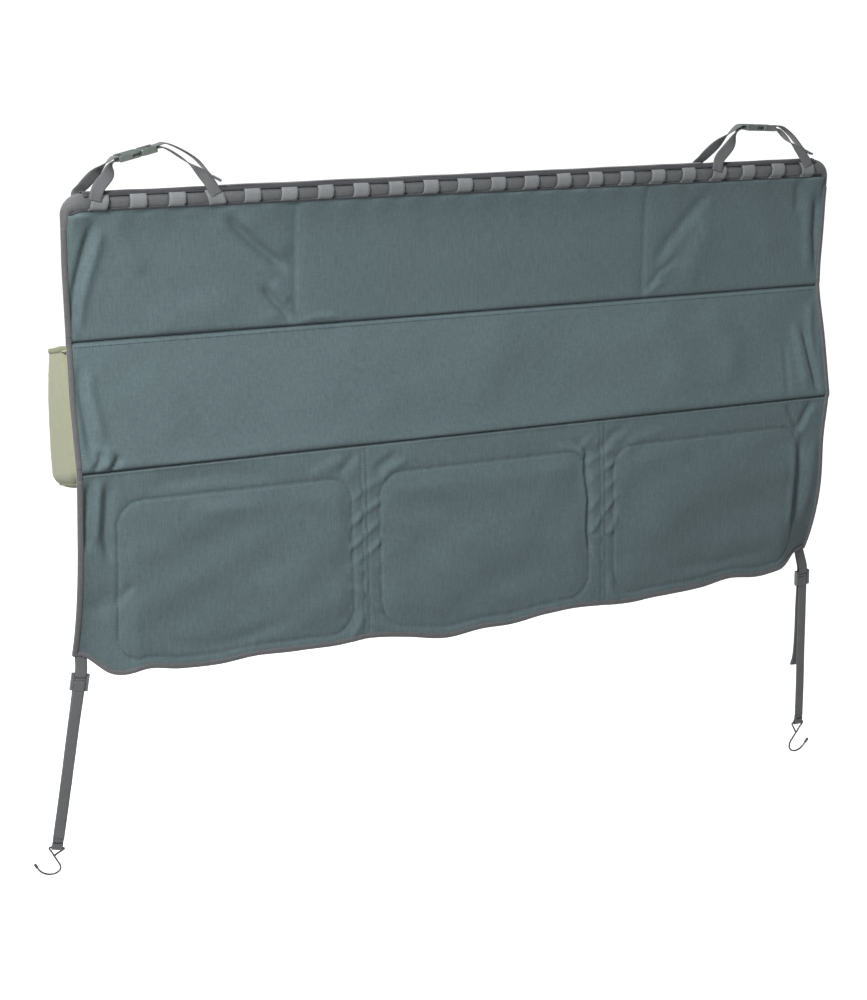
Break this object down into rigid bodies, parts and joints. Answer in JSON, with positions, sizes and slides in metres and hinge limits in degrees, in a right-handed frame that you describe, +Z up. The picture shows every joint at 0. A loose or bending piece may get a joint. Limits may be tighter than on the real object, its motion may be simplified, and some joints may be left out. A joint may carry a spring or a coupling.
{
  "type": "hanging field gear panel",
  "caption": "Hanging fabric field panel with a padded top tube and webbing loops, back pockets, buckled handles and adjustable lower straps with wire hooks.",
  "frame": {"origin": "midway between the two handles, at the height where what they hang on touches them", "axes": "+X along the top tube, +Y towards the pocket side, +Z up"},
  "size_m": [1.393, 0.1485, 1.0923],
  "materials": {
    "cloth_slate": "matte",
    "cloth_sage": "matte",
    "trim_tape": "matte",
    "loop_webbing": "matte",
    "strap_webbing": "matte",
    "buckle_plastic": "satin",
    "hook_steel": "satin",
    "rod_metal": "satin"
  },
  "bodies": {
    "handles": {"buckle_socket_left": "buckle_plastic", "anchor_strap_left": "strap_webbing", "pull_strap_left": "strap_webbing", "buckle_socket_right": "buckle_plastic", "anchor_strap_right": "strap_webbing", "pull_strap_right": "strap_webbing"},
    "plug_left": {"buckle_plug_left": "buckle_plastic", "strap_tail_left": "strap_webbing"},
    "plug_right": {"buckle_plug_right": "buckle_plastic", "strap_tail_right": "strap_webbing"},
    "header": {"tube_sleeve": "trim_tape", "stiffener_rod": "rod_metal", "tube_end_left": "trim_tape", "tube_end_right": "trim_tape", "loop_ladder": "loop_webbing", "upper_panel": "cloth_slate", "upper_binding_left": "trim_tape", "upper_binding_right": "trim_tape", "flat_pocket_left": "cloth_slate", "flat_pocket_centre": "cloth_slate", "flat_pocket_right": "cloth_slate"},
    "middle": {"middle_panel": "cloth_slate", "middle_binding_left": "trim_tape", "middle_binding_right": "trim_tape", "box_pocket": "cloth_sage"},
    "flap": {"box_flap": "cloth_sage"},
    "lower": {"lower_panel": "cloth_slate", "lower_binding_left": "trim_tape", "lower_binding_right": "trim_tape", "hem_binding": "trim_tape", "compartment_left": "cloth_slate", "compartment_centre": "cloth_slate", "compartment_right": "cloth_slate", "corner_tab_left": "strap_webbing", "corner_tab_right": "strap_webbing"},
    "zip_left": {"zip_slider_left": "hook_steel"},
    "zip_centre": {"zip_slider_centre": "hook_steel"},
    "zip_right": {"zip_slider_right": "hook_steel"},
    "lock_left": {"ladder_lock_left": "buckle_plastic", "strap_tail_lower_left": "strap_webbing", "hook_strap_left": "strap_webbing"},
    "lock_right": {"ladder_lock_right": "buckle_plastic", "strap_tail_lower_right": "strap_webbing", "hook_strap_right": "strap_webbing"},
    "foot_left": {"strap_end_left": "strap_webbing"},
    "foot_right": {"strap_end_right": "strap_webbing"},
    "swivel_left": {"hook_left": "hook_steel"},
    "swivel_right": {"hook_right": "hook_steel"}
  },
  "joints": [
    {"name": "header_swing", "type": "hinge", "parent": "handles", "child": "header", "pos_m": [0, 0, -0.059], "axis": [1, 0, 0], "range_deg": [-30, 30]},
    {"name": "middle_fold", "type": "hinge", "parent": "header", "child": "middle", "pos_m": [0, 0, -0.252], "axis": [1, 0, 0], "range_deg": [-75, 10]},
    {"name": "lower_fold", "type": "hinge", "parent": "middle", "child": "lower", "pos_m": [0, -0.039, -0.431], "axis": [1, 0, 0], "range_deg": [-75, 6]},
    {"name": "flap_lift", "type": "hinge", "parent": "middle", "child": "flap", "pos_m": [0, 0.00463, -0.25659], "axis": [1, 0, 0], "range_deg": [0, 70]},
    {"name": "buckle_release_left", "type": "slide", "parent": "handles", "child": "plug_left", "axis": [0.9744, 0, 0.225], "range_m": [0, 0.03], "deforming": ["pull_strap_left"]},
    {"name": "buckle_release_right", "type": "slide", "parent": "handles", "child": "plug_right", "axis": [0.9986, 0, -0.0523], "range_m": [0, 0.03], "deforming": ["pull_strap_right"]},
    {"name": "zip_travel_left", "type": "slide", "parent": "lower", "child": "zip_left", "axis": [0.9993, -0.0384, 0.0008], "range_m": [0, 0.27]},
    {"name": "zip_travel_centre", "type": "slide", "parent": "lower", "child": "zip_centre", "axis": [1, 0, 0], "range_m": [0, 0.27]},
    {"name": "zip_travel_right", "type": "slide", "parent": "lower", "child": "zip_right", "axis": [0.9993, 0.0384, -0.0008], "range_m": [0, 0.27]},
    {"name": "lock_swing_left", "type": "hinge", "parent": "lower", "child": "lock_left", "pos_m": [-0.638, 0.005, -0.738], "axis": [0.9713, -0.1736, -0.1625], "range_deg": [-60, 60]},
    {"name": "strap_adjust_left", "type": "slide", "parent": "lock_left", "child": "foot_left", "axis": [0.165, 0, 0.9863], "range_m": [0, 0.07], "deforming": ["hook_strap_left"]},
    {"name": "hook_swing_left", "type": "hinge", "parent": "foot_left", "child": "swivel_left", "pos_m": [-0.68124, 0.005, -0.99641], "axis": [0.9713, -0.1736, -0.1625], "range_deg": [-60, 60]},
    {"name": "lock_swing_right", "type": "hinge", "parent": "lower", "child": "lock_right", "pos_m": [0.648, 0.005, -0.745], "axis": [0.9996, 0, 0.0297], "range_deg": [-60, 60]},
    {"name": "strap_adjust_right", "type": "slide", "parent": "lock_right", "child": "foot_right", "axis": [-0.0297, 0, 0.9996], "range_m": [0, 0.07], "deforming": ["hook_strap_right"]},
    {"name": "hook_swing_right", "type": "hinge", "parent": "foot_right", "child": "swivel_right", "pos_m": [0.65607, 0.005, -1.01688], "axis": [0.9996, 0, 0.0297], "range_deg": [-60, 60]}
  ]
}
